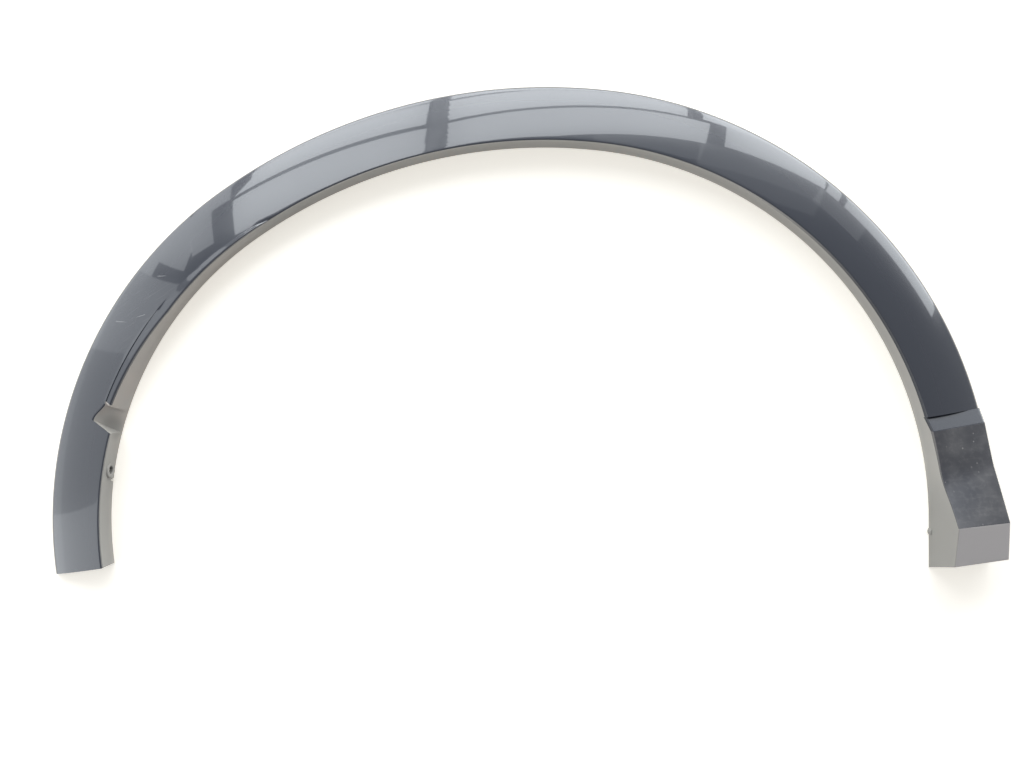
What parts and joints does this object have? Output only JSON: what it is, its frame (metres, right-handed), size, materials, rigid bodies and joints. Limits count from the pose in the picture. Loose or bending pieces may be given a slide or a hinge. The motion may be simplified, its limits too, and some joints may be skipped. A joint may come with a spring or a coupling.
{
  "type": "wheel arch trim",
  "caption": "Moulded wheel arch trim: painted crowned band round the wheel opening, grained return flange, flared rear foot, clip seats behind.",
  "frame": {"origin": "middle of the underside of the piece as it lies on its rear edges", "axes": "+X towards the flared foot (rearwards on the car), +Y towards the crown (up on the car), +Z out of the body side"},
  "size_m": [0.935, 0.4855, 0.0569],
  "materials": {
    "arch_moulding": "dark blue-black gloss paint on the face, bare grained grey plastic on the flange, toe and back"
  },
  "bodies": {
    "root": {"arch_moulding": "arch_moulding"}
  },
  "joints": []
}
